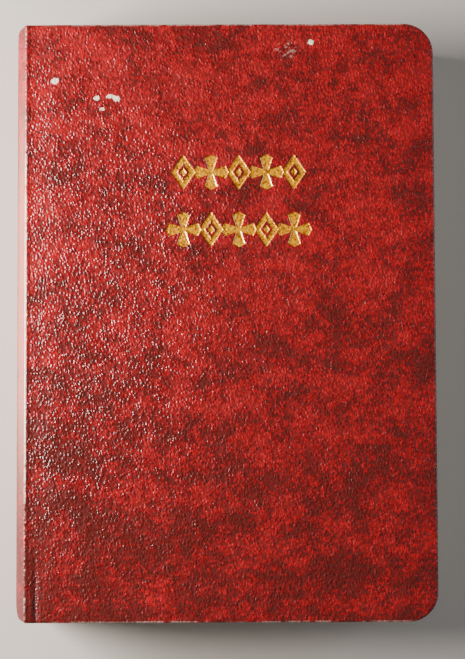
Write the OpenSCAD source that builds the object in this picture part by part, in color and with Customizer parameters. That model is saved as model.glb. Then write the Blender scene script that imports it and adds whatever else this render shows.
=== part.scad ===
// Limp-bound bible, closed and lying on its back cover.
// X runs from the spine to the fore-edge, Y from the tail to the head, Z through the thickness.
// The origin is at the middle of the underside. The block opens at its middle.

/* [Book] */
// Overall width, from the spine to the fore-edge of the covers
book_w = 143.4; // [133.4:1:153.4]
// Overall height, from the tail to the head of the covers
book_h = 203; // [185:1:225]
// Overall thickness of the closed book
book_t = 28; // [26:0.5:32]

/* [Covers] */
// Radius of the covers' fore-edge corners
corner_r = 10; // [6:0.5:14]
// Radius of the covers' corners beside the spine
joint_corner_r = 2; // [1:0.5:3]
// Thickness of the imitation leather
leather_t = 0.8; // [0.6:0.1:0.9]
// Thickness of the flexible card inside each cover
card_t = 0.35; // [0.2:0.05:0.35]
// Thickness of the imitation leather where it is pared and turned in
turn_in_t = 0.25; // [0.2:0.05:0.3]
// Width of the turned-in leather inside each cover
turn_in_w = 12; // [8:1:16]
// Thickness of an endpaper
endpaper_t = 0.15; // [0.1:0.01:0.15]
// Distance from the spine's widest point to the covers' spine-side edges
joint_w = 7.8; // [7.6:0.1:8.4]

/* [Text block] */
// Width of a leaf, from its fold to the fore-edge
leaf_w = 133; // [120:0.5:133]
// How far the covers stand out past the leaves at head and tail
square_w = 3; // [2:0.5:5]
// Radius of the leaves' fore-edge corners
leaf_corner_r = 8; // [4:0.5:12]
// Sewn sections in each half of the block
half_sections = 12; // [12]

/* [Spine] */
// How far the rounded spine stands out past a straight line between the covers
spine_bulge = 4.4; // [4.2:0.1:4.6]
// Radius of the rolled leather where the spine meets each cover
roll_r = 2.2; // [2:0.05:2.4]
// Thickness of the flexible card inside the spine
inlay_t = 0.4; // [0.2:0.05:0.4]
// Diameter of the sewing thread
thread_d = 0.5; // [0.4:0.05:0.5]
// Radius of the headband and the tailband
band_r = 0.8; // [0.6:0.05:0.8]

/* [Ornament] */
// Height of one row of gold-stamped ornament
row_h = 12; // [9:0.5:13]
// Distance between neighbouring ornaments in a row
ornament_pitch = 9.4; // [8.8:0.1:10]
// Distance from the middle of the cover to the upper row's centre line
upper_row_y = 50.5; // [45:0.5:60]
// Distance between the two rows' centre lines
row_gap = 19.6; // [16:0.2:24]

/* [Hidden] */
$fn = 96;
eps = 0.01;
cover_t = 1.6;
cover_x0 = -book_w / 2 + joint_w;
cover_x1 = book_w / 2;
slip = 0.05;
half_gap = 0.05;
foil_t = 0.1;
deboss = 0.2;

// The spine's layers are arcs about one line that runs along Y.
half_t = book_t / 2;
spine_r = (half_t * half_t + spine_bulge * spine_bulge) / (2 * spine_bulge);
spine_cx = -book_w / 2 + spine_r;
inner_leather_r = spine_r - leather_t;
inlay_r = inner_leather_r - slip;
lip_r = inlay_r - inlay_t - slip;
block_r = spine_r - 3;
glue_r = block_r + 0.3;
mull_r = glue_r + 0.25;
lining_r = mull_r + 0.25;
end_lip_t = 0.4;
end_wall_t = 0.8;
spine_turn_in_w = 12;

// The rolled joints carry on from the spine's curve towards the covers, a little lower than their faces.
roll_drop = 0.6;
roll_cz = book_t - roll_drop - roll_r;
roll_angle = asin((roll_cz - half_t) / (spine_r - roll_r));
roll_cx = spine_cx - (spine_r - roll_r) * cos(roll_angle);
roll_z = roll_cz + roll_r * sin(roll_angle);
roll_end_x = roll_cx - 0.1;

// Below this height the spine's leather stays with the rear half when the book opens.
turning_z = 4.4;
turning_gap = 0.5;
spine_z0 = turning_z + turning_gap;
spine_z1 = roll_z - slip;
// How far up and down from mid-height the glue, cloth and lining paper reach.
lined_reach = 8.4;

// Sections share what is left between the covers and the flyleaves.
leaf_h = book_h - 2 * square_w;
flyleaf_z = cover_t + slip;
block_z = flyleaf_z + endpaper_t + slip;
section_t = (half_t - half_gap - block_z) / half_sections;

thread_stations = 6;
thread_span = 150;
row_count = 5;
row_x = 5.1;

function spine_x(z, r = spine_r) = spine_cx - sqrt(r * r - pow(z - half_t, 2));
// The fold of a section lies on the block's rounded back, at the section's outer face.
function fold_x(z) = spine_x(z, block_r) + slip;

// A rectangle whose spine-side and fore-edge corners have their own radii.
module leaf_outline(x0, x1, h, r0, r1) {
    translate([x0 + r0, -h / 2]) square([x1 - r1 - x0 - r0, h]);
    translate([x0, -h / 2 + r0]) square([r0 + eps, h - 2 * r0]);
    translate([x1 - r1 - eps, -h / 2 + r1]) square([r1 + eps, h - 2 * r1]);
    for (side = [-1, 1]) {
        translate([x0 + r0, side * (h / 2 - r0)]) circle(r0);
        translate([x1 - r1, side * (h / 2 - r1)]) circle(r1);
    }
}

module cover_outline(inset) {
    x0 = cover_x0 + inset;
    x1 = cover_x1 - inset;
    r0 = max(joint_corner_r - inset, 0.5);
    r1 = max(corner_r - inset, 1);
    leaf_outline(x0, x1, book_h - 2 * inset, r0, r1);
}

module slab(z, t) {
    translate([0, 0, z]) linear_extrude(t) children();
}

// Everything on a cover is drawn as the front cover; the back cover is its mirror image.
module as_back_cover() {
    translate([0, 0, book_t]) mirror([0, 0, 1]) children();
}

leather_z = book_t - leather_t;
lip_z = leather_z - card_t - slip;
inner_z = lip_z - turn_in_t;

module cover_leather() {
    difference() {
        slab(inner_z, book_t - inner_z) cover_outline(0);
        slab(lip_z, leather_z - lip_z) cover_outline(leather_t);
        slab(inner_z - 1, 1 + turn_in_t + eps) cover_outline(turn_in_w);
    }
}

module cover_card() {
    slab(lip_z + slip / 2, card_t) cover_outline(leather_t + slip);
}

// The pastedown lies over the turned-in leather and sinks to the card inside it.
module pastedown() {
    slab(book_t - cover_t, inner_z - (book_t - cover_t)) page_outline(cover_x0 + 1.5, 0);
    slab(inner_z - eps, turn_in_t) cover_outline(turn_in_w + slip);
}

module page_outline(x0, shrink) {
    x1 = fold_x(cover_t) + leaf_w - shrink;
    leaf_outline(x0, x1, leaf_h - 2 * shrink, 0.5, leaf_corner_r);
}

module lozenge(w, h) {
    polygon([[-w / 2, 0], [0, -h / 2], [w / 2, 0], [0, h / 2]]);
}

module lozenge_ring() {
    difference() {
        lozenge(row_h * 0.68, row_h);
        lozenge(row_h * 0.34, row_h * 0.5);
    }
    lozenge(row_h * 0.17, row_h * 0.25);
}

// A cross with four equal arms, each wider at its pointed end.
module plain_cross() {
    arm = row_h * 0.41;
    side = [[-0.9, 0.9], [-arm * 0.44, arm], [0, arm * 1.22], [arm * 0.44, arm]];
    polygon([for (turn = [0:-90:-270]) for (p = side)
        [p[0] * cos(turn) - p[1] * sin(turn), p[0] * sin(turn) + p[1] * cos(turn)]]);
}

module ornament_row(first_is_cross) {
    for (i = [0:row_count - 1]) {
        translate([(i - (row_count - 1) / 2) * ornament_pitch, 0]) {
            if ((i % 2 == 0) == first_is_cross) plain_cross();
            else lozenge_ring();
        }
    }
}

module upper_row() {
    translate([row_x, upper_row_y]) ornament_row(false);
}

module lower_row() {
    translate([row_x, upper_row_y - row_gap]) ornament_row(true);
}

module foil(colour = "goldenrod") {
    color(colour) slab(book_t - deboss, foil_t) children();
}

module front_cover_leather() {
    color("firebrick") difference() {
        cover_leather();
        slab(book_t - deboss, 1) upper_row();
        slab(book_t - deboss, 1) lower_row();
    }
}

module gold_upper_row() { foil() upper_row(); }
module gold_lower_row() { foil() lower_row(); }
module front_cover_card() { color("tan") cover_card(); }
module front_pastedown() { color("ivory") pastedown(); }
module back_cover_leather() { color("firebrick") as_back_cover() cover_leather(); }
module back_cover_card() { color("tan") as_back_cover() cover_card(); }
module back_pastedown() { color("ivory") as_back_cover() pastedown(); }

// Stands a profile drawn in X and Z up along Y.
module along_y(length, y = 0) {
    translate([0, y, 0]) rotate([90, 0, 0]) linear_extrude(length, center = true) children();
}

// One layer of the spine, between two radii and two heights.
module spine_arc(r_in, r_out, z0, z1) {
    intersection() {
        translate([spine_cx, half_t]) difference() {
            circle(r_out, $fn = 180);
            circle(r_in, $fn = 180);
        }
        translate([-book_w / 2 - 1, z0]) square([spine_bulge + 8, z1 - z0]);
    }
}

module spine_leather() {
    color("firebrick") {
        along_y(book_h) spine_arc(inner_leather_r, spine_r, spine_z0, spine_z1);
        for (side = [-1, 1]) {
            along_y(end_wall_t, side * (book_h - end_wall_t) / 2)
                spine_arc(lip_r - end_lip_t, spine_r, spine_z0, spine_z1);
            along_y(spine_turn_in_w, side * (book_h - spine_turn_in_w) / 2)
                spine_arc(lip_r - end_lip_t, lip_r, spine_z0, spine_z1);
        }
    }
}

module spine_inlay() {
    inlay_h = book_h - 2 * end_wall_t - 2 * slip;
    color("tan") along_y(inlay_h) spine_arc(inlay_r - inlay_t, inlay_r, spine_z0, spine_z1);
}

// The rolled leather at a joint, part of a ring whose end is at the groove.
module roll_profile(z0) {
    intersection() {
        translate([roll_cx, roll_cz]) difference() {
            circle(roll_r);
            circle(roll_r - leather_t);
        }
        translate([-book_w / 2 - 1, z0]) square([roll_end_x + book_w / 2 + 1, roll_r + 3]);
    }
}

// At the rear the rolled leather also takes the spine's curve up to where the spine turns.
module rear_joint_profile() {
    roll_profile(roll_z - 0.3);
    spine_arc(inner_leather_r, spine_r, book_t - turning_z, roll_z);
}

module front_joint_leather() {
    color("firebrick") along_y(book_h) roll_profile(roll_z);
}

module rear_joint_leather() {
    color("firebrick") as_back_cover() along_y(book_h) rear_joint_profile();
}

// The glue, the cloth and the lining paper cover the folds of the sections.
module back_layer(r_in, r_out, end_gap) {
    along_y(leaf_h - 2 * end_gap) spine_arc(r_in, r_out, half_t - lined_reach, half_t + lined_reach);
}

module spine_glue() {
    color("wheat") difference() {
        back_layer(block_r + slip, glue_r, 0.5);
        thread_slots();
    }
}

module mull_cloth() { color("white") back_layer(glue_r, mull_r, 8); }
module spine_lining_paper() { color("burlywood") back_layer(mull_r, lining_r, 1); }

// The thread runs up the back in several stations, in slots through the glue.
module at_thread_stations() {
    for (i = [0:thread_stations - 1]) {
        translate([0, (i / (thread_stations - 1) - 0.5) * thread_span, 0]) children();
    }
}

module thread_slots() {
    reach = lined_reach + 1;
    at_thread_stations() along_y(thread_d + 2 * slip) spine_arc(block_r, glue_r + slip, half_t - reach, half_t + reach);
}

module sewing_thread() {
    reach = lined_reach - 0.2;
    color("ghostwhite") at_thread_stations() along_y(thread_d)
        spine_arc(block_r + slip, glue_r - slip / 2, half_t - reach, half_t + reach);
}

// A rolled band that follows the rounded back, just past the ends of the leaves.
module band(side) {
    band_cr = block_r + 0.4;
    reach = asin((half_t - spine_z0 - band_r) / band_cr);
    translate([spine_cx, side * (leaf_h / 2 + band_r + slip), half_t])
        rotate([90, 0, 0]) rotate([0, 0, 180 - reach])
            rotate_extrude(angle = 2 * reach, $fn = 180) translate([band_cr, 0]) circle(band_r, $fn = 32);
}

module headband() { color("darkred") band(1); }
module tailband() { color("darkred") band(-1); }

module flyleaf(z, fold_z) {
    slab(z, endpaper_t) page_outline(fold_x(fold_z) + 0.5, 0.3);
}

module front_flyleaf() { color("ivory") flyleaf(book_t - flyleaf_z - endpaper_t, flyleaf_z); }
module rear_flyleaf() { color("ivory") flyleaf(flyleaf_z, flyleaf_z); }

// One sewn section, a pile of folded leaves. Number 1 is the one nearest the cover.
module section(number) {
    z = block_z + (number - 1) * section_t;
    x0 = fold_x(z);
    slab(z, section_t) leaf_outline(x0, x0 + leaf_w, leaf_h, 0.3, leaf_corner_r);
}

module rear_section(number) {
    color("cornsilk") section(number);
}

module front_section(number) {
    color("cornsilk") as_back_cover() section(number);
}

front_cover_leather();
front_cover_card();
front_pastedown();
gold_upper_row();
gold_lower_row();
back_cover_leather();
back_cover_card();
back_pastedown();
spine_leather();
spine_inlay();
front_joint_leather();
rear_joint_leather();
spine_glue();
mull_cloth();
spine_lining_paper();
sewing_thread();
headband();
tailband();
front_flyleaf();
rear_flyleaf();
for (i = [1:half_sections]) {
    front_section(i);
    rear_section(i);
}
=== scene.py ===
import math
import random
from collections import namedtuple

import bmesh
import bpy
import numpy as np
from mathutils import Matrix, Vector


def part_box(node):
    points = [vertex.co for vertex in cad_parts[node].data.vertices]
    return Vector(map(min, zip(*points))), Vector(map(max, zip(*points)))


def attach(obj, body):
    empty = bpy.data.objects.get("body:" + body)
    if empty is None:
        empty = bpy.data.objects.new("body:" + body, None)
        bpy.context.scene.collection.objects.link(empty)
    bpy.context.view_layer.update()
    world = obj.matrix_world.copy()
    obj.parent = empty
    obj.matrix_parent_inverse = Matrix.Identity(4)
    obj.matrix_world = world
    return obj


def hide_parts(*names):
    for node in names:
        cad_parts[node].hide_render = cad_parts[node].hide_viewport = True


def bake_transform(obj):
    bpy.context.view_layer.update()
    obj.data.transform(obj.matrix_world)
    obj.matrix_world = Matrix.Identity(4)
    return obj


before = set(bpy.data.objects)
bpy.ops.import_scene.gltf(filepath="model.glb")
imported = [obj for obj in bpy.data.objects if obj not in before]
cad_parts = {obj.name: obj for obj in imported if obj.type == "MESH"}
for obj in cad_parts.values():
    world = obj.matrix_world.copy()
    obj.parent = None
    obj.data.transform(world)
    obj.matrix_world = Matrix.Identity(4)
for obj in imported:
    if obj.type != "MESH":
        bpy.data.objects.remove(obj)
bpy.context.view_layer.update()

# Shapes are worked out in millimetres, in the CAD frame, and scaled to metres when a mesh is made.
MM = 0.001
REST = "rest_place"  # attribute that keeps a point's place in the closed book


def box_mm(node):
    """Lowest and highest corner of a CAD node, in mm."""
    low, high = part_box(node)
    return low / MM, high / MM


COVER_LOW, COVER_HIGH = box_mm("front_cover_leather")
ROLL_END_X = box_mm("front_joint_leather")[1].x
SPINE_X = box_mm("spine_leather")[0].x  # the outermost line of the spine
THICK = COVER_HIGH.z  # the closed book's thickness
MIDDLE = THICK / 2
HALF_H = COVER_HIGH.y
FORE_X = COVER_HIGH.x

CORNER_R = 10.0  # fore-edge corners of the covers, as in the CAD
LEAF_CORNER_R = 8.0  # and of the leaves
TURN_IN_W = 12.0  # width of the leather turned in at the edges, as in the CAD
LEATHER_T = 0.8
EDGE_R = 0.75  # rounding where the leather turns over an edge
SPINE_BULGE = 4.4  # the spine's curve, as in the CAD
SPINE_R = (MIDDLE ** 2 + SPINE_BULGE ** 2) / (2 * SPINE_BULGE)
RIDGE_R = 0.9  # the ridge where the spine turns over to the cover
RIDGE_TOP = THICK - 0.22
GROOVE_X = ROLL_END_X + 0.9
GROOVE_Z = RIDGE_TOP - 0.16
FACE_Z = THICK - 0.07  # mean height of the cover's face, which ripples a little
TAIL_GROOVE_X = -63.8  # a groove that shows only near the tail
HINGE_END_X = GROOVE_X + 3.7  # past this line the leather follows the cover alone
FOLD_START_X = -60.3  # past this line all leaves lie flat
SPINE_SIDE_X = -67.4  # before this line the leather is the side of the spine
SECTIONS_PER_HALF = 12

DARK_WINE = (0.085, 0.007, 0.005)
WINE = (0.15, 0.004, 0.006)
RED = (0.29, 0.006, 0.009)
BRIGHT_RED = (0.40, 0.008, 0.012)


# ---------------------------------------------------------------- mesh helpers

def smooth(t):
    """0 to 1, eased at both ends."""
    t = np.clip(t, 0, 1)
    return t * t * (3 - 2 * t)


def rounded_drop(distance, radius):
    """How far a rounded edge has fallen at a distance in from the edge."""
    left = radius - np.clip(distance, 0, radius)
    return radius - np.sqrt(np.maximum(radius * radius - left * left, 0))


def make_piece(name, points, faces, material, places=None):
    """A closed mesh object from points in mm.
    It keeps each point's place in the closed book, so that patterns stay put when it bends."""
    mesh = bpy.data.meshes.new(name)
    mesh.from_pydata((np.asarray(points, float) * MM).tolist(), [], [list(map(int, f)) for f in faces])
    bm = bmesh.new()
    bm.from_mesh(mesh)
    bmesh.ops.recalc_face_normals(bm, faces=bm.faces)
    bm.to_mesh(mesh)
    bm.free()
    rest = mesh.attributes.new(REST, "FLOAT_VECTOR", "POINT")
    kept = points if places is None else places
    rest.data.foreach_set("vector", np.asarray(kept, np.float32).ravel())
    mesh.polygons.foreach_set("use_smooth", np.ones(len(mesh.polygons), bool))
    mesh.set_sharp_from_angle(angle=math.radians(38))
    mesh.materials.append(material)
    piece = bpy.data.objects.new(name, mesh)
    bpy.context.scene.collection.objects.link(piece)
    return piece


def bridge(first, second):
    """Faces that join two loops with the same number of points."""
    n = len(first)
    return [(first[i], first[(i + 1) % n], second[(i + 1) % n], second[i]) for i in range(n)]


# A flat outline with rounded fore-edge corners, and where its grid lines run
Leaf = namedtuple("Leaf", "columns rows x1 half_h radius")


def leaf_points(leaf, left, inset, height):
    """The leaf's grid of points, from x = left and inset from the outline.
    The height is a number or a function of x and y."""
    c = leaf.columns
    x = left + (c - c[0]) * (leaf.x1 - inset - left) / (c[-1] - c[0])
    r = max(leaf.radius - inset, 0.3)
    past = np.clip(x - (leaf.x1 - inset - r), 0, r)
    half = leaf.half_h - inset - r + np.sqrt(r * r - past * past)
    xs = np.repeat(x[:, None], len(leaf.rows), 1)
    ys = half[:, None] * leaf.rows[None, :]
    zs = height(xs, ys) if callable(height) else np.full_like(xs, height)
    return np.stack([xs, ys, zs], -1).reshape(-1, 3)


def grid_faces(n, m):
    """Faces of a grid with n columns of m points."""
    return [(i * m + j, (i + 1) * m + j, (i + 1) * m + j + 1, i * m + j + 1)
            for i in range(n - 1) for j in range(m - 1)]


def leaf_shape(leaf, top, rings, bottom=None):
    """A closed leaf: a top grid, rings down its edge, then a bottom grid or one closing face.
    Each of top, rings and bottom is (left, inset, height)."""
    n, m = len(leaf.columns), len(leaf.rows)
    edge = np.array([i * m for i in range(n)] + [(n - 1) * m + j for j in range(1, m)]
                    + [i * m + m - 1 for i in range(n - 2, -1, -1)] + list(range(m - 2, 0, -1)))
    points, faces, last, count = [leaf_points(leaf, *top)], grid_faces(n, m), edge, n * m
    for ring in rings:
        points.append(leaf_points(leaf, *ring)[edge])
        this = count + np.arange(len(edge))
        faces += bridge(last, this)
        last, count = this, count + len(edge)
    if bottom:
        points.append(leaf_points(leaf, *bottom))
        faces += bridge(last, count + edge)
        faces += [tuple(count + k for k in reversed(f)) for f in grid_faces(n, m)]
    else:
        faces.append(tuple(reversed(last)))
    return np.concatenate(points), faces


def steps(*runs):
    """Positions along a line: each run is (start, end, spacing)."""
    parts = [np.linspace(a, b, max(int(round(abs(b - a) / s)), 1), endpoint=False) for a, b, s in runs]
    return np.concatenate(parts + [[runs[-1][1]]])


def mirrored(points):
    """The same points, turned from the front cover's side of the book to the back's."""
    points = np.array(points, float)
    points[:, 2] = THICK - points[:, 2]
    return points


# ---------------------------------------------------------------- shape of the covers

def ripples(x, y, seed, depth):
    """Soft unevenness of leather over card, as a sum of waves."""
    rng = random.Random(seed)
    total = np.zeros_like(x)
    for _ in range(16):
        length = rng.uniform(9, 42)
        turn, phase = rng.uniform(0, math.pi), rng.uniform(0, 2 * math.pi)
        total += length * np.sin(2 * math.pi * (x * math.cos(turn) + y * math.sin(turn)) / length + phase)
    return depth * total / 42


def edge_distance(x, y):
    """Distance in from the cover's head, tail or fore-edge, round its corners."""
    cx, cy = x - (FORE_X - CORNER_R), np.abs(y) - (HALF_H - CORNER_R)
    straight = np.minimum(FORE_X - x, HALF_H - np.abs(y))
    corner = CORNER_R - np.hypot(cx, cy)
    return np.where((cx > 0) & (cy > 0), corner, straight)


def cover_face(x, y, seed=11):
    """Height of the front cover's outer face, without the stamped ornament."""
    z = GROOVE_Z + (FACE_Z - GROOVE_Z) * smooth((x - GROOVE_X) / 9)
    z = z - 0.30 * np.exp(-((x - TAIL_GROOVE_X) / 0.8) ** 2) * smooth((-y - 68) / 28)
    z = z + smooth((x + 62) / 5) * ripples(x, y, seed, 0.03)
    z = z - 0.42 * smooth((x - 60) / 12)
    return np.minimum(z, THICK) - rounded_drop(edge_distance(x, y), EDGE_R)


# ---------------------------------------------------------------- stamped ornament

ROW_H, PITCH, PER_ROW = 12.0, 9.4, 5  # as in the CAD
PRESS = 0.28  # how deep the stamp goes


def lozenge(w, h):
    """A lozenge w wide and h high, about its centre."""
    return np.array([(-w / 2, 0), (0, -h / 2), (w / 2, 0), (0, h / 2)], float)


def cross_shape():
    """A cross with four equal arms, each wider at its pointed end."""
    arm = ROW_H * 0.41
    side = [(-0.9, 0.9), (-arm * 0.44, arm), (0, arm * 1.22), (arm * 0.44, arm)]
    points = []
    for quarter in range(4):
        points += side
        side = [(y, -x) for x, y in side]
    return np.array(points[::-1], float)


def lozenge_parts():
    """Outer and inner outline of the ring, and the small lozenge in it."""
    return (lozenge(ROW_H * 0.68, ROW_H), lozenge(ROW_H * 0.34, ROW_H * 0.5),
            lozenge(ROW_H * 0.17, ROW_H * 0.25))


def row_places(node, first_is_cross):
    """Centre of each ornament in a row, and if it is a cross."""
    low, high = box_mm(node)
    x, y = (low.x + high.x) / 2, (low.y + high.y) / 2
    return [(x + (i - (PER_ROW - 1) / 2) * PITCH, y, (i % 2 == 0) == first_is_cross)
            for i in range(PER_ROW)]


UPPER_ROW = row_places("gold_upper_row", False)
LOWER_ROW = row_places("gold_lower_row", True)


def distance_to(shape, x, y):
    """Signed distance to an outline, below 0 inside it."""
    best, inside = np.full_like(x, 1e9), np.zeros(x.shape, bool)
    for (ax, ay), (bx, by) in zip(shape, np.roll(shape, -1, 0)):
        ex, ey = bx - ax, by - ay
        t = np.clip(((x - ax) * ex + (y - ay) * ey) / (ex * ex + ey * ey), 0, 1)
        best = np.minimum(best, np.hypot(x - ax - t * ex, y - ay - t * ey))
        if ay != by:
            crosses = ((ay > y) != (by > y)) & (x < ax + (y - ay) * ex / ey)
            inside ^= crosses
    return np.where(inside, -best, best)


def ornament_distance(x, y):
    """Signed distance to the nearest stamped shape."""
    best = np.full_like(x, 9.0)
    outer, inner, small = lozenge_parts()
    for cx, cy, is_cross in UPPER_ROW + LOWER_ROW:
        near = (np.abs(x - cx) < 7) & (np.abs(y - cy) < 7)
        u, v = x[near] - cx, y[near] - cy
        if is_cross:
            d = distance_to(cross_shape(), u, v)
        else:
            ring = np.maximum(distance_to(outer, u, v), -distance_to(inner, u, v))
            d = np.minimum(ring, distance_to(small, u, v))
        best[near] = np.minimum(best[near], d)
    return best


def stamped(distance):
    """How far the stamp has pressed the face down, by signed distance from the shape's edge."""
    return PRESS * np.clip((0.1 - distance) / 0.44, 0, 1)


def stamped_cover_face(x, y):
    """The cover's face with the ornament pressed into it, deeper under the foil, which covers it."""
    d = ornament_distance(x, y)
    return cover_face(x, y) - stamped(d) - 0.14 * smooth(-d / 0.2)


def cut_edges(shape, per_edge):
    """The outline with every edge cut into equal parts."""
    ends = np.roll(shape, -1, 0)
    return np.concatenate([[a + (b - a) * k / per_edge for k in range(per_edge)]
                           for a, b in zip(shape, ends)])


def inset_loop(loop, distance):
    """The loop moved inwards, with mitred corners."""
    before, after = loop - np.roll(loop, 1, 0), np.roll(loop, -1, 0) - loop
    normals = []
    for edge in (before, after):
        unit = edge / np.linalg.norm(edge, axis=1)[:, None]
        normals.append(np.stack([-unit[:, 1], unit[:, 0]], 1))
    a, b = normals
    return loop + distance * (a + b) / (1 + (a * b).sum(1))[:, None]


def foil_loops(shape, per_edge, cx, cy, outwards):
    """Loops of foil from its edge to the flat floor of the stamp, and one under the edge."""
    loop, made = cut_edges(shape, per_edge), []
    for d in (0, 0.05, 0.12, 0.2, 0.28, 0.34, 0.4, 0.5):
        at = inset_loop(loop, -d if outwards else d) + (cx, cy)
        z = cover_face(at[:, 0], at[:, 1]) - stamped(np.full(len(at), -d)) + 0.03
        made.append(np.column_stack([at, z]))
    under = made[0].copy()
    under[:, 2] = THICK - PRESS - 0.25
    return [under] + made


def add_loops(points, faces, loops):
    """Adds bridged loops to a mesh in the making and returns the first and the last loop's point numbers."""
    numbers, count = [], sum(len(p) for p in points)
    for loop in loops:
        points.append(loop)
        numbers.append(count + np.arange(len(loop)))
        count += len(loop)
    for a, b in zip(numbers, numbers[1:]):
        faces += bridge(a, b)
    return numbers[0], numbers[-1]


def foil_row(name, node, places, material):
    """The gold foil of one row, one closed tray for each separate shape."""
    points, faces = [], []
    outer, inner, small = lozenge_parts()
    for cx, cy, is_cross in places:
        for shape, per_edge in ([(cross_shape(), 5)] if is_cross else [(small, 4)]):
            first, last = add_loops(points, faces, foil_loops(shape, per_edge, cx, cy, False))
            faces += [tuple(first[::-1]), tuple(last)]
        if not is_cross:
            low_out, floor_out = add_loops(points, faces, foil_loops(outer, 12, cx, cy, False))
            low_in, floor_in = add_loops(points, faces, foil_loops(inner, 12, cx, cy, True))
            faces += bridge(floor_out, floor_in) + bridge(low_in, low_out)
    piece = make_piece(name, np.concatenate(points), faces, material)
    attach(piece, "front_cover")
    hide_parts(node)


# ---------------------------------------------------------------- leather pieces

def cover_leaf(fine):
    """Where the cover's grid lines run.
    They are close together at the joint, at the edges and, if fine, round the ornament."""
    near_x = (UPPER_ROW[0][0] - 6.5, UPPER_ROW[-1][0] + 6.5)
    near_y = (LOWER_ROW[0][1] - 7, UPPER_ROW[0][1] + 7)
    spacing = 0.32 if fine else 1.1
    rim, plain = 1.3, 0.95  # width of the close lines at an edge, and the spacing elsewhere
    columns = steps((GROOVE_X, HINGE_END_X + 0.5, 0.15), (HINGE_END_X + 0.5, near_x[0], plain),
                    (near_x[0], near_x[1], spacing), (near_x[1], FORE_X - rim, plain))
    edge = np.array([rim, 1.0, 0.75, 0.5, 0.3, 0.14, 0.05])
    columns = np.concatenate([columns[:-1], FORE_X - edge, [FORE_X]])
    inner = steps((-HALF_H + rim, near_y[0], plain), (near_y[0], near_y[1], spacing),
                  (near_y[1], HALF_H - rim, plain))
    rows = np.concatenate([[-HALF_H], -HALF_H + edge[::-1], inner[1:-1], HALF_H - edge, [HALF_H]]) / HALF_H
    return Leaf(columns, rows, FORE_X, HALF_H, CORNER_R)


def cover_leather_shape(face, fine):
    """The leather of a cover: its face, the turned-over edge and the turned-in border inside."""
    inner_z, window_x = COVER_LOW.z, COVER_LOW.x + TURN_IN_W
    top = (GROOVE_X, 0, face)
    rings = [(GROOVE_X, 0, FACE_Z - 1.05), (GROOVE_X, 0.12, inner_z + 0.12), (GROOVE_X, 0.4, inner_z - 0.02),
             (window_x, TURN_IN_W, inner_z), (window_x + 0.1, TURN_IN_W + 0.1, THICK - 0.7)]
    return leaf_shape(cover_leaf(fine), top, rings)


def front_cover_skin(material):
    """The front cover's leather, with the ornament stamped into it."""
    points, faces = cover_leather_shape(stamped_cover_face, True)
    piece = make_piece("front_cover_skin", points, faces, material)
    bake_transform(piece)
    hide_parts("front_cover_leather")


def back_cover_skin(material):
    """The back cover's leather, plain, with ripples of its own."""
    points, faces = cover_leather_shape(lambda x, y: cover_face(x, y, seed=29), False)
    piece = make_piece("back_cover_skin", mirrored(points), faces, material)
    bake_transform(piece)
    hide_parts("back_cover_leather")


def spine_profile():
    """Outer line of the spine, from mid-height to the groove.
    Each point is x, z, then the leather's thickness along the spine and at its turned-in ends."""
    ridge_z = RIDGE_TOP - RIDGE_R
    meet = math.asin((ridge_z - MIDDLE) / (SPINE_R - RIDGE_R))
    centre_x = SPINE_X + SPINE_R
    ridge_x = centre_x - (SPINE_R - RIDGE_R) * math.cos(meet)
    line = []
    for a in np.linspace(0, meet, 26, endpoint=False):
        thick_end = 1.65 - 0.8 * float(smooth((a / meet - 0.75) / 0.25))
        line.append((centre_x - SPINE_R * math.cos(a), MIDDLE + SPINE_R * math.sin(a), LEATHER_T, thick_end))
    for a in np.linspace(math.pi - meet, math.pi / 2, 14, endpoint=False):
        line.append((ridge_x + RIDGE_R * math.cos(a), ridge_z + RIDGE_R * math.sin(a), LEATHER_T, 0.85))
    for x in np.linspace(ridge_x, GROOVE_X, 8):
        t = (x - ridge_x) / (GROOVE_X - ridge_x)
        thick = LEATHER_T - 0.2 * t
        line.append((x, RIDGE_TOP + (GROOVE_Z - RIDGE_TOP) * float(smooth(t)), thick, thick))
    return np.array(line)


def half_spine_shape():
    """The leather of the upper half of the spine, drawn along Y.
    It is thicker where it is turned in at head and tail.
    Its bulge is pressed in a little at the tail, and less at the head."""
    line = spine_profile()
    bulging = smooth((-67 - line[:, 0]) / 3)
    along = np.gradient(line[:, :2], axis=0)
    along /= np.linalg.norm(along, axis=1)[:, None]
    inwards = np.column_stack([along[:, 1], -along[:, 0]])
    ends = np.array([0, 0.05, 0.14, 0.3, 0.5, 0.75, 1.0, 1.3])
    inner = steps((-HALF_H + 1.9, -HALF_H + 7, 0.6), (-HALF_H + 7, -90, 2), (-90, -88.5, 0.3),
                  (-88.5, 88.5, 2.5), (88.5, 90, 0.3), (90, HALF_H - 7, 2),
                  (HALF_H - 7, HALF_H - 1.9, 0.6))
    ys = np.concatenate([-HALF_H + ends, inner, (HALF_H - ends)[::-1]])
    points, faces, k = [], [], len(line)
    for y in ys:
        d = HALF_H - abs(y)
        thick = line[:, 2] + (line[:, 3] - line[:, 2]) * float(smooth((TURN_IN_W + 0.6 - d) / 0.6))
        fall = np.minimum(rounded_drop(d, EDGE_R), thick - 0.04)
        most, reach = (1.35, 6.0) if y < 0 else (0.7, 3.0)
        pressed = most * rounded_drop(d, reach) / reach * bulging
        for depth in (fall, thick):
            at = line[:, :2] + inwards * depth[:, None]
            points.append(np.column_stack([at[:, 0] + pressed, np.full(k, y), at[:, 1]]))
    for row in range(len(ys) - 1):
        a, b = row * 2 * k, (row + 1) * 2 * k
        loop = list(range(k)) + list(range(2 * k - 1, k - 1, -1))
        faces += bridge([a + i for i in loop], [b + i for i in loop])
    for a in (0, (len(ys) - 1) * 2 * k):
        faces += [(a + i, a + i + 1, a + k + i + 1, a + k + i) for i in range(k - 1)]
    return np.concatenate(points), faces


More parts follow.
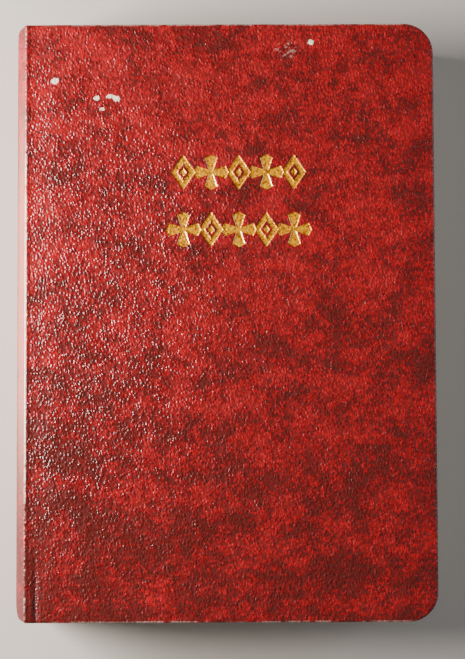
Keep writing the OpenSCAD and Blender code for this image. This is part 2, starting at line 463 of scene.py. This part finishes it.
def spine_skins(material):
    """The spine's leather in two halves that meet at mid-height. Each half bends with its own joint."""
    points, faces = half_spine_shape()
    upper = make_piece("spine_skin_upper", points, faces, material)
    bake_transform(upper)
    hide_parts("spine_leather", "front_joint_leather")
    lower = make_piece("spine_skin_lower", mirrored(points), faces, material)
    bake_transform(lower)
    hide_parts("rear_joint_leather")


# ---------------------------------------------------------------- paper pieces

def leaf_wave(x, y, z):
    """Slight waves of the leaves in the middle of the block. They fade out at the covers."""
    depth = np.clip(1 - ((z - MIDDLE) / (MIDDLE - 2.0)) ** 2, 0, 1)
    wave = np.sin(x / 9.1 + 0.7) * np.sin(y / 13.0 + 1.9) + 0.6 * np.sin(y / 5.3 + x / 21.0)
    return 0.14 * depth * wave * smooth((x + 52) / 30)


def section_shape(node, waviness):
    """One sewn section: a rounded fold at the spine, and leaf edges that stand out unevenly.
    Waviness is 1 for the shape, and 0 for the flat places that the patterns are drawn on."""
    low, high = box_mm(node)
    thick = high.z - low.z
    columns = steps((low.x, FOLD_START_X, 0.35), (FOLD_START_X, high.x - 9, 4.5),
                    (high.x - 9, high.x - 2, 0.8), (high.x - 2, high.x - 0.5, 0.3),
                    (high.x - 0.5, high.x - 0.1, 0.13), (high.x - 0.1, high.x, 0.1))
    leaf = Leaf(columns, np.linspace(-1, 1, 45), high.x, high.y, LEAF_CORNER_R)
    rng = random.Random(node)

    def level(share):
        z = low.z + thick * share
        fold = 0.42 * thick * (1 - math.sqrt(max(1 - (2 * share - 1) ** 2, 0)))
        inset = 0.0 if share in (0, 1) else rng.uniform(0, 0.11)
        return (low.x + fold, inset, lambda x, y: z + waviness * leaf_wave(x, y, z))

    levels = [level(k / 9) for k in range(9, -1, -1)]
    return leaf_shape(leaf, levels[0], levels[1:-1], levels[-1])


def sections(material):
    """The sewn sections. At its fold each follows the spine, so that the leaves arch into the opening.
    Those near the covers bend close to the joint, those in the middle of the block bend in a wider arch."""
    for half in ("front", "rear"):
        for number in range(1, SECTIONS_PER_HALF + 1):
            node = f"{half}_section_{number}"
            points, faces = section_shape(node, 1)
            places, _ = section_shape(node, 0)
            name = node.replace("section", "leaves")
            piece = make_piece(name, points, faces, material, places)
            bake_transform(piece)
            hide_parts(node)


def endpaper_shape(low, high, sink):
    """A thin sheet that starts at the joint. If it sinks, it also shows the turned-in border under it."""
    left = GROOVE_X + 0.5
    columns = steps((left, HINGE_END_X + 0.5, 0.3), (HINGE_END_X + 0.5, -50, 1.0),
                    (-50, high.x - 14, 4), (high.x - 14, high.x - 8.5, 0.5),
                    (high.x - 8.5, high.x - 0.4, 0.6), (high.x - 0.4, high.x, 0.2))
    half = high.y
    near = steps((-half, -half + 6, 2), (-half + 6, -half + 12, 0.5), (-half + 12, half - 12, 4),
                 (half - 12, half - 6, 0.5), (half - 6, half, 2))
    leaf = Leaf(columns, near / half, high.x, half, LEAF_CORNER_R)

    def sunk(z):
        def height(x, y):
            inside = np.minimum(edge_distance(x, y), x - COVER_LOW.x)
            return z + sink * smooth((inside - TURN_IN_W + 0.2) / 1.2) + ripples(x, y, 5, 0.004)
        return height
    return leaf_shape(leaf, (left, 0.05, sunk(high.z)), [], (left, 0.05, sunk(low.z)))


def pastedowns(material):
    """The sheets glued inside the covers. Each bends with its cover and sinks inside the turned-in border."""
    low, high = box_mm("front_pastedown")
    top = Vector((high.x, high.y, low.z + 0.14))
    points, faces = endpaper_shape(low, top, 0.22)
    front = make_piece("front_pastedown_sheet", points, faces, material)
    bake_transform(front)
    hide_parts("front_pastedown")
    back = make_piece("back_pastedown_sheet", mirrored(points), faces, material)
    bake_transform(back)
    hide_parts("back_pastedown")


def flyleaves(material):
    """The free endpapers. The front one lifts with its cover, the rear one stays and bends with the block."""
    low, high = box_mm("front_flyleaf")
    points, faces = endpaper_shape(low, high, 0)
    front = make_piece("front_flyleaf_sheet", points, faces, material)
    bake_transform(front)
    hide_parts("front_flyleaf")
    rear = make_piece("rear_flyleaf_sheet", mirrored(points), faces, material)
    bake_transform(rear)
    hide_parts("rear_flyleaf")


def bands(material):
    """Headband and tailband: cord wound with silk, along the rounded back."""
    for node in ("headband", "tailband"):
        low, high = box_mm(node)
        tube = (high.y - low.y) / 2
        y0 = (high.y + low.y) / 2
        rise = (high.z - low.z) / 2 - tube
        radius = SPINE_R - 2.6
        centre_x = low.x + tube + radius
        reach = math.asin(rise / radius)
        points, faces = [], []
        rings, sides, windings = 260, 14, 26
        for i in range(rings + 1):
            share = i / rings
            a = math.pi + reach * (2 * share - 1)
            wound = tube * (0.90 + 0.10 * abs(math.sin(math.pi * share * windings)))
            r = wound * math.sqrt(max(1 - max(abs(2 * share - 1) - 0.97, 0) ** 2 / 0.0011, 0.1))
            for s in range(sides):
                b = 2 * math.pi * s / sides
                out = radius + r * math.cos(b)
                points.append((centre_x + out * math.cos(a), y0 + r * math.sin(b),
                               MIDDLE + out * math.sin(a)))
        for i in range(rings):
            a, b = i * sides, (i + 1) * sides
            faces += bridge(range(a, a + sides), range(b, b + sides))
        faces += [tuple(range(sides)), tuple(range(rings * sides, (rings + 1) * sides))]
        piece = make_piece(node + "_wound", points, faces, material)
        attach(piece, "spine")
        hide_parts(node)


# ---------------------------------------------------------------- materials

class Finish:
    """One material, with short ways to add its nodes. Places are in mm."""

    def __init__(self, name, cad_node=False):
        self.material = bpy.data.materials.new(name)
        self.material.use_nodes = True
        self.tree = self.material.node_tree
        self.tree.nodes.clear()
        output = self.tree.nodes.new("ShaderNodeOutputMaterial")
        self.shader = self.tree.nodes.new("ShaderNodeBsdfPrincipled")
        self.tree.links.new(self.shader.outputs[0], output.inputs[0])
        if cad_node:
            coordinates = self.tree.nodes.new("ShaderNodeTexCoord")
            self.place = self.stretch((1 / MM,) * 3, of=coordinates.outputs["Object"])
        else:
            attribute = self.tree.nodes.new("ShaderNodeAttribute")
            attribute.attribute_name = REST
            self.place = attribute.outputs["Vector"]

    def put(self, socket, value):
        """Links another node's output to a socket, or sets the socket to a colour or a number."""
        if isinstance(value, bpy.types.NodeSocket):
            self.tree.links.new(value, socket)
        elif isinstance(value, tuple) and socket.type == "RGBA":
            socket.default_value = value + (1,)
        else:
            socket.default_value = value

    def maths(self, operation, *values, clamp=False):
        """One step of arithmetic."""
        node = self.tree.nodes.new("ShaderNodeMath")
        node.operation, node.use_clamp = operation, clamp
        for socket, value in zip(node.inputs, values):
            self.put(socket, value)
        return node.outputs[0]

    def scaled(self, value, low, high):
        """The value times (high - low), plus low."""
        return self.maths("MULTIPLY_ADD", value, high - low, low)

    def between(self, value, start, end):
        """0 before start and 1 after end, eased."""
        node = self.tree.nodes.new("ShaderNodeMapRange")
        node.interpolation_type = "SMOOTHSTEP"
        for name, v in (("Value", value), ("From Min", start), ("From Max", end)):
            self.put(node.inputs[name], v)
        return node.outputs[0]

    def stretch(self, scale, turn=0, of=None, shift=(0, 0, 0)):
        """The place, scaled, turned about Z in degrees and shifted."""
        node = self.tree.nodes.new("ShaderNodeMapping")
        node.inputs["Scale"].default_value = scale
        node.inputs["Rotation"].default_value = (0, 0, math.radians(turn))
        node.inputs["Location"].default_value = shift
        self.put(node.inputs["Vector"], of or self.place)
        return node.outputs[0]

    def noise(self, size, detail=3, rough=0.5, warp=0.0, of=None):
        """Noise whose spots are about size mm across."""
        node = self.tree.nodes.new("ShaderNodeTexNoise")
        self.put(node.inputs["Vector"], of or self.place)
        for name, v in (("Scale", 1 / size), ("Detail", detail), ("Roughness", rough), ("Distortion", warp)):
            node.inputs[name].default_value = v
        return node.outputs["Fac"]

    def cells(self, size, of=None):
        """Distance from the middle of the nearest cell, for cells about size mm across."""
        node = self.tree.nodes.new("ShaderNodeTexVoronoi")
        node.feature = "F1"
        self.put(node.inputs["Vector"], of or self.place)
        node.inputs["Scale"].default_value = 1 / size
        return node.outputs["Distance"]

    def length(self, vector):
        """How long a vector is."""
        node = self.tree.nodes.new("ShaderNodeVectorMath")
        node.operation = "LENGTH"
        self.put(node.inputs[0], vector)
        return node.outputs["Value"]

    def jostled(self, size, amount):
        """The place, pushed about by noise, so that cells lose their regular look."""
        noise = self.tree.nodes.new("ShaderNodeTexNoise")
        self.put(noise.inputs["Vector"], self.place)
        noise.inputs["Scale"].default_value = 1 / size
        push = self.tree.nodes.new("ShaderNodeVectorMath")
        push.operation = "MULTIPLY_ADD"
        self.put(push.inputs[0], noise.outputs["Color"])
        push.inputs[1].default_value = (amount,) * 3
        self.put(push.inputs[2], self.place)
        return push.outputs[0]

    def axes(self):
        """The place's x, y and z."""
        node = self.tree.nodes.new("ShaderNodeSeparateXYZ")
        self.put(node.inputs[0], self.place)
        return node.outputs

    def ramp(self, value, *stops):
        """Colour by value: each stop is (value, colour)."""
        node = self.tree.nodes.new("ShaderNodeValToRGB")
        line = node.color_ramp.elements
        while len(line) < len(stops):
            line.new(0.5)
        for element, (position, colour) in zip(line, stops):
            element.position, element.color = position, colour + (1,)
        self.put(node.inputs[0], value)
        return node.outputs[0]

    def mix(self, share, first, second):
        """The first colour where the share is 0, the second where it is 1."""
        node = self.tree.nodes.new("ShaderNodeMix")
        node.data_type = "RGBA"
        self.put(node.inputs[0], share)
        self.put(node.inputs[6], first)
        self.put(node.inputs[7], second)
        return node.outputs[2]

    def bump(self, height, depth):
        """Relief of the given depth in mm."""
        node = self.tree.nodes.new("ShaderNodeBump")
        node.inputs["Strength"].default_value = 1.0
        node.inputs["Distance"].default_value = depth * MM
        self.put(node.inputs["Height"], height)
        self.put(self.shader.inputs["Normal"], node.outputs[0])

    def surface(self, colour, rough, **constants):
        """Sets the shader. A constant goes straight onto the socket that it is named after."""
        self.put(self.shader.inputs["Base Color"], colour)
        self.put(self.shader.inputs["Roughness"], rough)
        for name, value in constants.items():
            self.put(self.shader.inputs[name.replace("_", " ").title().replace("Ior", "IOR")], value)
        return self.material


def pebble_grain(f):
    """The embossed grain: domed pebbles about 0.8 by 1.1 mm, slanted, some higher than others.
    They stand higher towards the joint."""
    slanted = f.stretch((1, 0.70, 1), of=f.stretch((1, 1, 1), turn=-15, of=f.jostled(2.4, 0.6)))
    far = f.cells(0.78, of=slanted)
    dome = f.maths("SUBTRACT", 1.0, f.maths("MULTIPLY", f.maths("MULTIPLY", far, far), 2.1), clamp=True)
    higher = f.scaled(f.noise(1.7, detail=1), -0.4, 1.8)
    near_joint = f.between(oval(f, -62, 2, 150, 190, 0), 1.15, 0.35)
    higher = f.maths("MULTIPLY", higher, f.scaled(near_joint, 0.78, 1.3))
    folds = f.noise(4.0, detail=2, rough=0.55)
    height = f.maths("MULTIPLY_ADD", dome, higher, f.maths("MULTIPLY", folds, 0.5))
    return f.maths("MULTIPLY_ADD", f.noise(0.45, detail=2, rough=0.6), 0.10, height)


FLECKS = (  # chipped spots, in mm: x, y, length, width, turn
    (-57.4, 82, 2.6, 2.1, 20),
    (-43.2, 76, 2.0, 1.6, 10),
    (-38.8, 76.7, 2.1, 1.3, 5),
    (-36.6, 76, 2.7, 1.8, -30),
    (-41.3, 72.3, 1.6, 1.1, 0),
    (29.9, 95, 2.0, 1.9, 0),
)
SCUFF = (22.3, 92.5, 11.0, 6.5, 0)  # a smudge, given in the same way


def oval(f, x, y, length, width, turn):
    """Distance from the middle of an oval: 1 at its outline."""
    moved = f.stretch((1, 1, 0), shift=(-x, -y, 0))
    return f.length(f.stretch((2 / length, 2 / width, 0), of=f.stretch((1, 1, 1), turn=-turn, of=moved)))


def on_front_face(f, mask):
    """The mask, kept to the outermost 1.2 mm on the front cover's side."""
    return f.maths("MULTIPLY", mask, f.maths("GREATER_THAN", f.axes()[2], THICK - 1.2))


def fleck_mask(f):
    """1 on the chipped spots of the front cover, with uneven outlines."""
    wobble, total = f.noise(0.9, detail=2), 0.0
    for fleck in FLECKS:
        spot = f.between(f.maths("MULTIPLY_ADD", wobble, 1.2, oval(f, *fleck)), 1.75, 1.45)
        total = f.maths("MAXIMUM", spot, total)
    return on_front_face(f, total)


def scuff_mask(f):
    """1 on the dull specks of the smudge."""
    specks = f.between(f.noise(1.3, detail=2), 0.50, 0.62)
    return on_front_face(f, f.maths("MULTIPLY", specks, f.between(oval(f, *SCUFF), 1.1, 0.5)))


def rubbed_edge_mask(f):
    """1 along the turned-over edges of the covers, here and there."""
    x, y, z = f.axes()
    past_x = f.maths("MAXIMUM", f.maths("SUBTRACT", x, FORE_X - CORNER_R), 0.0)
    past_y = f.maths("MAXIMUM", f.maths("SUBTRACT", f.maths("ABSOLUTE", y), HALF_H - CORNER_R), 0.0)
    past = f.maths("SQRT", f.maths("MULTIPLY_ADD", past_x, past_x, f.maths("MULTIPLY", past_y, past_y)))
    inwards = f.maths("SUBTRACT", CORNER_R, past)
    below = f.maths("MINIMUM", z, f.maths("SUBTRACT", THICK, z))
    edge = f.between(f.maths("ADD", inwards, below), 0.85, 0.5)
    return f.maths("MULTIPLY", edge, f.between(f.noise(7, detail=4, rough=0.7), 0.42, 0.60))


def mid_length(f):
    """1 about the middle of the book's length, 0 near its head and tail."""
    x, y, z = f.axes()
    return f.between(f.maths("ABSOLUTE", f.maths("SUBTRACT", y, 8)), 85, 25)


def ridge_highlight_mask(f):
    """1 along the ridges beside the spine, where a painted highlight lightens the leather, more broken
    towards head and tail.
    """
    x, y, z = f.axes()
    band = f.maths("MULTIPLY", f.between(x, -66.85, -67.05), f.between(x, -67.75, -67.5))
    highlight_breaks = f.maths("ADD", f.noise(6, detail=6, rough=0.8), f.scaled(mid_length(f), -0.16, 0.06))
    return f.maths("MULTIPLY", band, f.between(highlight_breaks, 0.34, 0.54))


def spine_sheen_mask(f):
    """1 on the shoulders of the spine about the middle of its length, where a painted sheen lightens the
    leather.
    """
    x, y, z = f.axes()
    shoulder = f.between(f.maths("ABSOLUTE", f.maths("SUBTRACT", z, MIDDLE)), 4, 11)
    side = f.maths("MULTIPLY", f.between(x, SPINE_SIDE_X, -68.0), shoulder)
    return f.maths("MULTIPLY", side, mid_length(f))


def mottle(f):
    """The cloudy pattern of the leather, high where it is bright red.
    It is lowered, and so darker, near the tail and the joint: painted shade where the light falls off."""
    x, y, z = f.axes()
    clouds = f.noise(15, detail=2, rough=0.6, warp=0.4, of=f.stretch((1, 1.35, 1), turn=38))
    patches = f.noise(4.6, detail=2, rough=0.6, warp=0.3)
    speckle = f.noise(1.1, detail=3, rough=0.75)
    # Painted shade: the next two masks darken the pattern towards the tail and about the joint near the tail.
    tail_shade = f.between(y, 40, -100)
    near_joint = f.between(oval(f, -66, -62, 110, 150, 0), 1.1, 0.3)
    level = f.maths("MULTIPLY_ADD", patches, 0.28, f.maths("MULTIPLY", clouds, 0.41))
    level = f.maths("MULTIPLY_ADD", speckle, 0.64, level)
    level = f.maths("MULTIPLY_ADD", tail_shade, -0.05, level)
    return f.maths("MULTIPLY_ADD", near_joint, -0.045, level)


def tail_groove_shade_mask(f):
    """1 in the groove beside the joint, near the tail, where shade is painted into the groove."""
    x, y, z = f.axes()
    beside = f.maths("ABSOLUTE", f.maths("SUBTRACT", x, TAIL_GROOVE_X))
    return f.maths("MULTIPLY", f.between(beside, 1.0, 0.3), f.between(y, -72, -98))


def grain_share(f):
    """1 on the covers, and less round the spine, where the leather is pulled flat.
    It is least where the book is held."""
    x, y, z = f.axes()
    pulled = f.maths("MULTIPLY", f.between(x, -66.5, -67.2), f.scaled(mid_length(f), 0.3, 1.0))
    return f.scaled(pulled, 1.0, 0.3)


def leatherette():
    """Burgundy imitation leather: cloudy red and dark wine mottle, pebbled, with chips and rubbed spots,
    painted shade in the grain's hollows, the tail groove and towards the tail, and a painted sheen and
    highlight along the spine.
    """
    f = Finish("burgundy_leatherette")
    x, y, z = f.axes()
    colour = f.ramp(mottle(f), (0.56, DARK_WINE), (0.615, WINE), (0.675, RED), (0.79, BRIGHT_RED))
    grain = pebble_grain(f)
    hollow = f.between(grain, 0.62, 0.30)
    # Painted shade: the hollows of the grain are darkened towards dark wine.
    colour = f.mix(f.maths("MULTIPLY", hollow, 0.6), colour, DARK_WINE)
    # Painted shade: the groove near the tail is darkened almost to black.
    colour = f.mix(f.maths("MULTIPLY", tail_groove_shade_mask(f), 0.7), colour, (0.03, 0.002, 0.003))
    colour = f.mix(f.maths("MULTIPLY", scuff_mask(f), 0.5), colour, (0.55, 0.36, 0.30))
    colour = f.mix(f.maths("MULTIPLY", rubbed_edge_mask(f), 0.6), colour, (0.62, 0.40, 0.34))
    # Painted sheen: the spine's shoulders are lightened towards pale orange about the middle of its length.
    colour = f.mix(f.maths("MULTIPLY", spine_sheen_mask(f), 0.35), colour, (0.90, 0.36, 0.26))
    # Painted highlight: a pale line along the ridge beside the spine.
    colour = f.mix(f.maths("MULTIPLY", ridge_highlight_mask(f), 0.75), colour, (0.90, 0.72, 0.64))
    colour = f.mix(fleck_mask(f), colour, (0.90, 0.80, 0.62))
    rough = f.scaled(f.noise(6.5, detail=2), 0.17, 0.32)
    rough = f.maths("ADD", rough, f.maths("MULTIPLY", hollow, 0.15), clamp=True)
    # The spine is dull near its ends, where no hand polishes it.
    dull = f.maths("MULTIPLY", f.between(x, SPINE_SIDE_X, -68.2), f.maths("SUBTRACT", 1.0, mid_length(f)))
    rough = f.maths("MULTIPLY_ADD", dull, 0.45, rough, clamp=True)
    f.bump(f.maths("MULTIPLY", grain, grain_share(f)), 0.18)
    return f.surface(colour, rough)


def gold_foil():
    """Stamped gold foil that takes on the grain under it, thin and rubbed in places."""
    f = Finish("stamped_gold_foil")
    grain = pebble_grain(f)
    tone = f.noise(0.9, detail=3, rough=0.75)
    colour = f.ramp(tone, (0.37, (0.26, 0.07, 0.0)), (0.48, (0.88, 0.34, 0.0)), (0.62, (1.0, 0.54, 0.0)))
    rubbed = f.between(f.noise(0.7, detail=3, rough=0.7), 0.62, 0.70)
    colour = f.mix(f.maths("MULTIPLY", rubbed, 0.5), colour, (0.30, 0.10, 0.02))
    f.bump(grain, 0.12)
    return f.surface(colour, f.scaled(tone, 0.30, 0.46), metallic=f.scaled(rubbed, 0.5, 0.3),
                     coat_weight=0.9, coat_roughness=0.08, specular_ior_level=0.15)


def print_mask(f):
    """1 on plain bars in two columns, on the outer faces of the block and on the faces where it opens."""
    x, y, z = f.axes()
    beside_gap = f.maths("ABSOLUTE", f.maths("SUBTRACT", x, 5.0))
    columns = f.maths("MINIMUM", f.maths("LESS_THAN", beside_gap, 52.0),
                      f.maths("GREATER_THAN", beside_gap, 2.2))
    columns = f.maths("MINIMUM", f.maths("LESS_THAN", f.maths("ABSOLUTE", y), 87.0), columns)
    rows = f.maths("GREATER_THAN", f.maths("FRACT", f.maths("DIVIDE", y, 2.9)), 0.56)
    words = f.maths("GREATER_THAN", f.noise(1.0, detail=0, of=f.stretch((0.42, 0.345, 0))), 0.43)
    from_middle = f.maths("ABSOLUTE", f.maths("SUBTRACT", z, MIDDLE))
    opening = f.maths("LESS_THAN", f.maths("ABSOLUTE", f.maths("SUBTRACT", from_middle, 0.05)), 0.35)
    outer = f.maths("GREATER_THAN", from_middle, 12.05)
    bars = f.maths("MULTIPLY", f.maths("MULTIPLY", columns, rows), words)
    return f.maths("MULTIPLY", bars, f.maths("MAXIMUM", opening, outer))


def bible_paper():
    """Thin cream paper: fine edge lines, and on its faces plain grey bars in place of print."""
    f = Finish("thin_bible_paper")
    lines = f.noise(1.0, detail=3, rough=0.7, of=f.stretch((0.02, 0.02, 14)))
    stain = f.noise(38, detail=3, rough=0.6)
    colour = f.ramp(lines, (0.30, (0.47, 0.38, 0.24)), (0.50, (0.74, 0.66, 0.49)), (0.72, (0.86, 0.80, 0.66)))
    colour = f.mix(f.between(stain, 0.50, 0.80), colour, (0.70, 0.57, 0.36))
    colour = f.mix(f.maths("MULTIPLY", print_mask(f), 0.5), colour, (0.16, 0.15, 0.14))
    f.bump(lines, 0.09)
    return f.surface(colour, f.scaled(stain, 0.62, 0.8))


def endpaper():
    """Ivory endpaper, slightly mottled and foxed, with paper tooth."""
    f = Finish("ivory_endpaper")
    tone = f.noise(26, detail=4, rough=0.6)
    colour = f.ramp(tone, (0.30, (0.66, 0.58, 0.42)), (0.55, (0.80, 0.74, 0.60)), (0.75, (0.84, 0.79, 0.67)))
    foxing = f.between(f.noise(3.2, detail=2), 0.70, 0.80)
    colour = f.mix(f.maths("MULTIPLY", foxing, 0.45), colour, (0.52, 0.36, 0.18))
    f.bump(f.noise(0.35, detail=3, rough=0.6), 0.02)
    return f.surface(colour, f.scaled(tone, 0.66, 0.82))


def band_silk():
    """Silk wound in red and cream stripes."""
    f = Finish("wound_band_silk")
    x, y, z = f.axes()
    stripe = f.between(f.maths("SINE", f.maths("MULTIPLY", z, 3.6)), -0.25, 0.25)
    thread = f.maths("SINE", f.maths("MULTIPLY", z, 34.0))
    colour = f.mix(stripe, (0.36, 0.014, 0.02), (0.78, 0.70, 0.55))
    colour = f.mix(f.maths("MULTIPLY", f.noise(0.5, detail=2), 0.3), colour, (0.30, 0.20, 0.13))
    f.bump(thread, 0.03)
    return f.surface(colour, f.scaled(f.noise(1.2), 0.36, 0.55), sheen_weight=0.3)


def fibrous(name, dark, light, size, depth, grain=(1, 1, 1)):
    """Card, paper, glue, cloth or thread of a hidden CAD piece: mottled, with a fibrous surface."""
    f = Finish(name, cad_node=True)
    fibre = f.noise(size, detail=4, rough=0.65, of=f.stretch(grain))
    tone = f.noise(14, detail=3)
    colour = f.mix(fibre, dark, light)
    colour = f.mix(f.maths("MULTIPLY", tone, 0.35), colour, dark)
    f.bump(fibre, depth)
    return f.surface(colour, f.scaled(fibre, 0.6, 0.85))


def mull():
    """Open cotton cloth, woven square."""
    f = Finish("mull_cloth", cad_node=True)
    x, y, z = f.axes()
    warp = f.maths("ABSOLUTE", f.maths("SINE", f.maths("MULTIPLY", y, 3.4)))
    weft = f.maths("ABSOLUTE", f.maths("SINE", f.maths("MULTIPLY", z, 3.4)))
    thread = f.maths("MAXIMUM", warp, weft)
    colour = f.mix(f.between(thread, 0.6, 0.9), (0.38, 0.31, 0.19), (0.78, 0.75, 0.66))
    f.bump(thread, 0.12)
    return f.surface(colour, f.scaled(f.noise(2.0), 0.7, 0.9))


def finish_cad_nodes():
    """The hidden stiffeners and the layers on the folds stay as the CAD has them.
    Each gets a material."""
    card = fibrous("grey_card", (0.24, 0.19, 0.13), (0.47, 0.39, 0.28), 0.6, 0.05)
    kraft = fibrous("kraft_lining", (0.26, 0.15, 0.07), (0.47, 0.31, 0.16), 0.5, 0.04, (1, 0.3, 1))
    glue = fibrous("dried_glue", (0.42, 0.31, 0.15), (0.66, 0.55, 0.33), 1.4, 0.08)
    thread = fibrous("linen_thread", (0.50, 0.45, 0.35), (0.82, 0.79, 0.70), 0.3, 0.05, (1, 2, 0.5))
    finishes = {
        "front_cover_card": (card, "card"),
        "back_cover_card": (card, "card"),
        "spine_inlay": (card, "card"),
        "spine_lining_paper": (kraft, "kraft_paper"),
        "spine_glue": (glue, "glue"),
        "sewing_thread": (thread, "thread"),
        "mull_cloth": (mull(), "mull"),
    }
    for node, (material, slot) in finishes.items():
        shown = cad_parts[node]
        shown.data.materials.clear()
        shown.data.materials.append(material)


# ---------------------------------------------------------------- floor, light and camera

def pale_floor():
    """A plain pale floor, a hair below the book."""
    f = Finish("pale_floor", cad_node=True)
    f.surface((0.52, 0.495, 0.465), 0.7)
    mesh = bpy.data.meshes.new("floor")
    size, below = 1.5, -2e-4
    corners = [(-size, -size, below), (size, -size, below), (size, size, below), (-size, size, below)]
    mesh.from_pydata(corners, [], [(0, 1, 2, 3)])
    mesh.materials.append(f.material)
    floor = bpy.data.objects.new("floor", mesh)
    bpy.context.scene.collection.objects.link(floor)


def area_light(name, place, target, size, power, colour):
    """A soft rectangular light at a place, turned to a target."""
    data = bpy.data.lights.new(name, "AREA")
    data.shape = "RECTANGLE"
    data.size, data.size_y = size
    data.energy = power
    data.color = colour
    lamp = bpy.data.objects.new(name, data)
    lamp.location = place
    lamp.rotation_euler = (Vector(target) - Vector(place)).to_track_quat("-Z", "Y").to_euler()
    bpy.context.scene.collection.objects.link(lamp)


def studio_light():
    """A window-like light on the left with a lower one beside it, a weak one on the right,
    and even grey light all round."""
    area_light("window_light", (-0.42, 0.05, 0.21), (0, 0.01, 0.02), (0.22, 0.14), 9.5, (1.0, 0.91, 0.83))
    area_light("low_window", (-0.55, 0.05, 0.08), (-0.07, 0.01, 0.02), (0.10, 0.20), 1.2, (1.0, 0.93, 0.86))
    area_light("right_fill", (0.60, 0.10, 0.22), (0.05, 0, 0.02), (0.5, 0.3), 1.6, (0.92, 0.96, 1.0))
    world = bpy.data.worlds.new("soft_grey")
    world.use_nodes = True
    world.node_tree.nodes["Background"].inputs[0].default_value = (0.55, 0.55, 0.56, 1)
    world.node_tree.nodes["Background"].inputs[1].default_value = 0.30
    bpy.context.scene.world = world


def photo_camera():
    """Nearly straight down, from a little towards the tail."""
    data = bpy.data.cameras.new("camera")
    data.lens = 84
    data.sensor_width = 36
    camera = bpy.data.objects.new("camera", data)
    tilt, distance = math.radians(3.0), 0.520
    target = Vector((0.00275, -0.0031, 0.028))
    camera.location = target + distance * Vector((0, -math.sin(tilt), math.cos(tilt)))
    camera.rotation_euler = (tilt, 0, math.radians(-0.2))
    bpy.context.scene.collection.objects.link(camera)
    bpy.context.scene.camera = camera


leather = leatherette()
foil = gold_foil()
front_cover_skin(leather)
back_cover_skin(leather)
spine_skins(leather)
foil_row("upper_row_foil", "gold_upper_row", UPPER_ROW, foil)
foil_row("lower_row_foil", "gold_lower_row", LOWER_ROW, foil)
sections(bible_paper())
sheet = endpaper()
pastedowns(sheet)
flyleaves(sheet)
bands(band_silk())
finish_cad_nodes()
pale_floor()
studio_light()
photo_camera()
